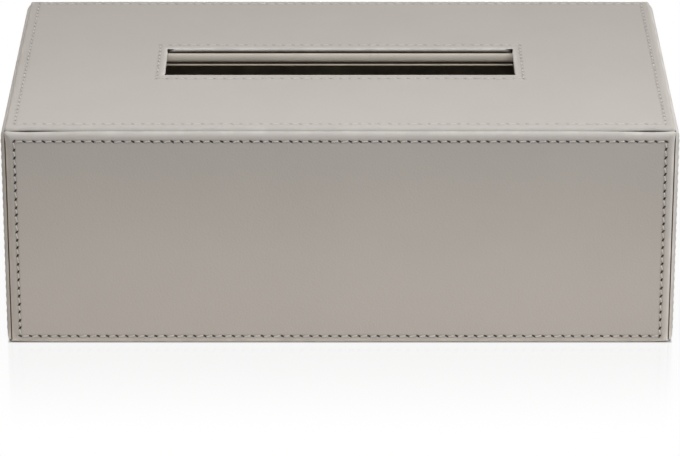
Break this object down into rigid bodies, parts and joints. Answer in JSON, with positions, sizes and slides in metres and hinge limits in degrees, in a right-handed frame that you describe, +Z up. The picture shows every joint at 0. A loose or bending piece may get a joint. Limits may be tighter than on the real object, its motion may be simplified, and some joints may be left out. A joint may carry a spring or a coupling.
{
  "type": "tissue box cover",
  "caption": "Rectangular cover that slips over a tissue box: stitched leather panels on a board carcass, open below, with a long dispensing slot in the top.",
  "frame": {"origin": "middle of the footprint, on the table that the cover stands on", "axes": "+X along the width, to the right seen from the front; +Y from the front to the back; +Z up"},
  "size_m": [0.26, 0.145, 0.09],
  "materials": {
    "leather": "matt, fine grain, greige",
    "edging": "matt, fine grain, cut strips",
    "stiffener": "raw grey card",
    "board": "raw fibreboard",
    "lining": "suede-like nap",
    "thread": "twisted thread, slight sheen"
  },
  "bodies": {
    "root": {"back_board": "board", "back_leather": "leather", "back_lining": "lining", "back_stiffener": "stiffener", "back_stitching": "thread", "base_edging_back": "edging", "base_edging_front": "edging", "base_edging_left": "edging", "base_edging_right": "edging", "front_board": "board", "front_leather": "leather", "front_lining": "lining", "front_stiffener": "stiffener", "front_stitching": "thread", "left_board": "board", "left_leather": "leather", "left_lining": "lining", "left_stiffener": "stiffener", "left_stitching": "thread", "right_board": "board", "right_leather": "leather", "right_lining": "lining", "right_stiffener": "stiffener", "right_stitching": "thread", "slot_edging_back": "edging", "slot_edging_front": "edging", "slot_edging_left": "edging", "slot_edging_right": "edging", "slot_stitching": "thread", "top_board": "board", "top_leather": "leather", "top_lining": "lining", "top_stiffener": "stiffener", "top_stitching": "thread"}
  },
  "joints": []
}
